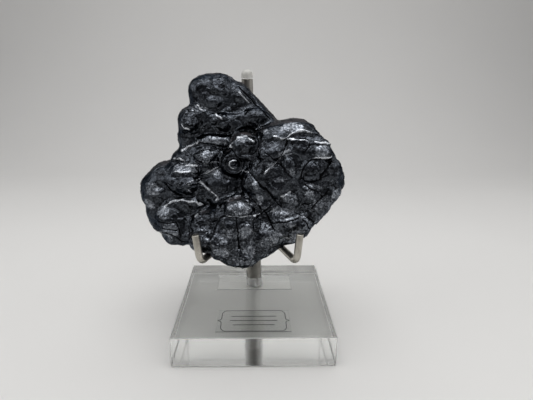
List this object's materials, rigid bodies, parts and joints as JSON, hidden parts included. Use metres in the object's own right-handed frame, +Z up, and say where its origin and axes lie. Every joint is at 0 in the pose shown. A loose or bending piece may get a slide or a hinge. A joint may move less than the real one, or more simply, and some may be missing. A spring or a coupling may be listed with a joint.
{
  "type": "botryoidal hematite specimen on a display stand",
  "caption": "Dark lobed hematite specimen leaning on the rod and wire arms of a clear block display stand.",
  "frame": {"origin": "centre of the clear block's underside, on the surface that the object stands on", "axes": "+Z up, -Y towards the viewer in front, +X to the viewer's right"},
  "size_m": [0.097, 0.075, 0.1301],
  "materials": {
    "hematite": "dark metallic, glossy botryoidal skin with satin patches",
    "acrylic": "clear cast acrylic with polished faces",
    "steel": "satin steel wire and rod",
    "cap_plastic": "pale translucent moulded plastic",
    "label_film": "clear film with thin dark ruled lines",
    "sticker_paper": "plain white paper"
  },
  "bodies": {
    "root": {"hematite": "hematite", "acrylic_base": "acrylic", "rod_sleeve": "steel", "rod": "steel", "rod_cap": "cap_plastic", "arm_collar": "steel", "arm_left": "steel", "arm_right": "steel", "label": "label_film", "underside_sticker": "sticker_paper"}
  },
  "joints": []
}
